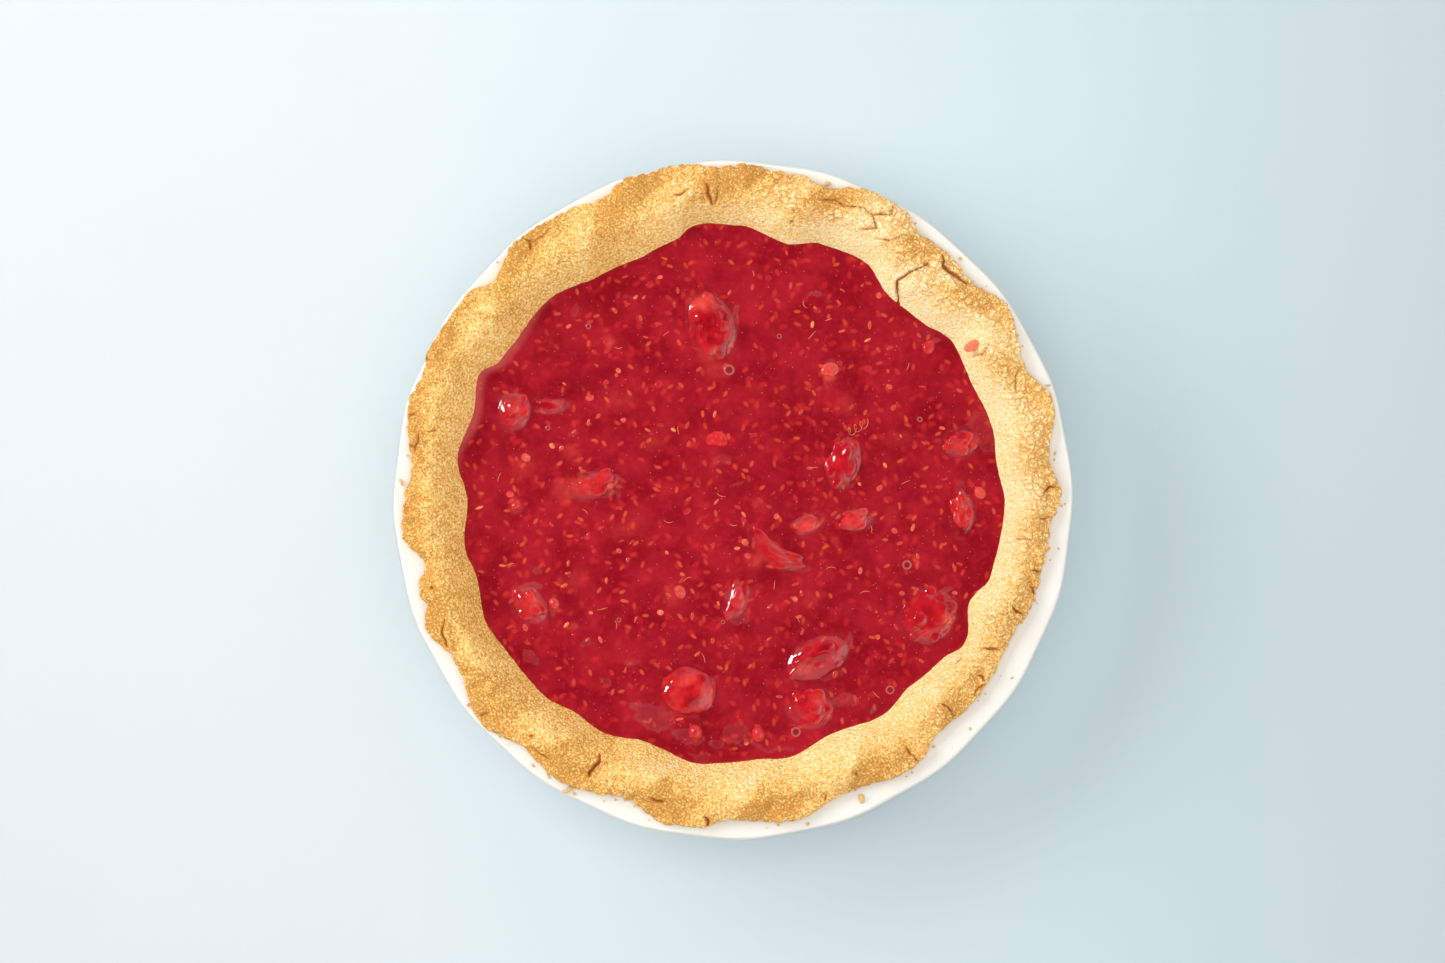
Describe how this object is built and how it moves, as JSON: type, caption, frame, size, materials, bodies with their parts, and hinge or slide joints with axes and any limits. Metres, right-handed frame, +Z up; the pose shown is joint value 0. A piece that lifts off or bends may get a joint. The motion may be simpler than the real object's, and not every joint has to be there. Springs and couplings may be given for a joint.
{
  "type": "raspberry pie",
  "caption": "Open raspberry pie in its own round scalloped white dish: a hand-pressed pastry rim round a glossy red gel filling with whole and broken berries.",
  "frame": {"origin": "centre of the dish's foot, on the surface it stands on", "axes": "+Z up, out of the open top; +Y towards the top of the picture; +X towards its right"},
  "size_m": [0.257, 0.257, 0.0474],
  "materials": {
    "stoneware": "white gloss glaze",
    "pastry": "dry baked pastry, pale inside and browned on the rim",
    "gel": "wet clear red gel",
    "berry": "wet fruit under gel"
  },
  "bodies": {
    "root": {"pie_dish": "stoneware", "crust": "pastry", "filling": "gel", "berry_round": "berry", "berry_broken": "berry", "berry_rough": "berry", "berry_tailed": "berry", "berry_sunk": "berry", "berry_tall": "berry", "berry_curled": "berry", "berry_thin": "berry", "berry_low": "berry", "berry_left": "berry", "berry_strip": "berry", "berry_lower_left": "berry", "berry_pair_small": "berry", "berry_pair_large": "berry", "berry_right": "berry", "berry_cluster": "berry"}
  },
  "joints": []
}
